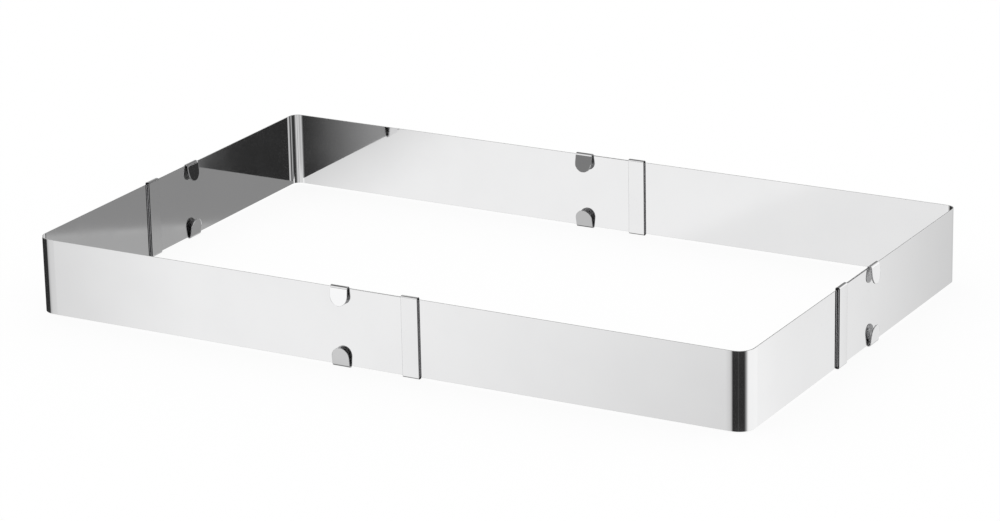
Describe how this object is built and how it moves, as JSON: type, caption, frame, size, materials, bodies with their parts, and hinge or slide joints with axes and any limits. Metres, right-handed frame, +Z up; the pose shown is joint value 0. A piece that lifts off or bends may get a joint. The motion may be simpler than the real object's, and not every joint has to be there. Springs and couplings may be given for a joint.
{
  "type": "adjustable baking frame",
  "caption": "Bottomless rectangular baking frame of polished steel strips that slide through sleeves and folded lugs to change its length and width.",
  "frame": {"origin": "middle of the frame in plan, on the surface that it stands on", "axes": "+X along the long sides towards the right, +Y along the short sides away from the viewer, +Z up"},
  "size_m": [0.506, 0.3158, 0.0524],
  "materials": {
    "strip_steel": "stainless sheet polished almost to a mirror",
    "sleeve_steel": "polished stainless band"
  },
  "bodies": {
    "front_left": {"front_left_strip": "strip_steel", "front_sleeve": "sleeve_steel"},
    "front_right": {"front_right_strip": "strip_steel"},
    "rear_left": {"rear_left_strip": "strip_steel", "rear_sleeve": "sleeve_steel", "left_sleeve": "sleeve_steel"},
    "rear_right": {"rear_right_strip": "strip_steel", "right_sleeve": "sleeve_steel"}
  },
  "joints": [
    {"name": "length_slide", "type": "slide", "parent": "front_left", "child": "front_right", "axis": [1, 0, 0], "range_m": [-0.208, 0.0265]},
    {"name": "width_slide", "type": "slide", "parent": "front_left", "child": "rear_left", "axis": [0, 1, 0], "range_m": [-0.1155, 0.033]},
    {"name": "right_width_slide", "type": "slide", "parent": "front_right", "child": "rear_right", "axis": [0, 1, 0], "range_m": [-0.1155, 0.033]}
  ],
  "couplings": [
    {"joint": "right_width_slide", "follows": "width_slide", "ratio": 1}
  ]
}
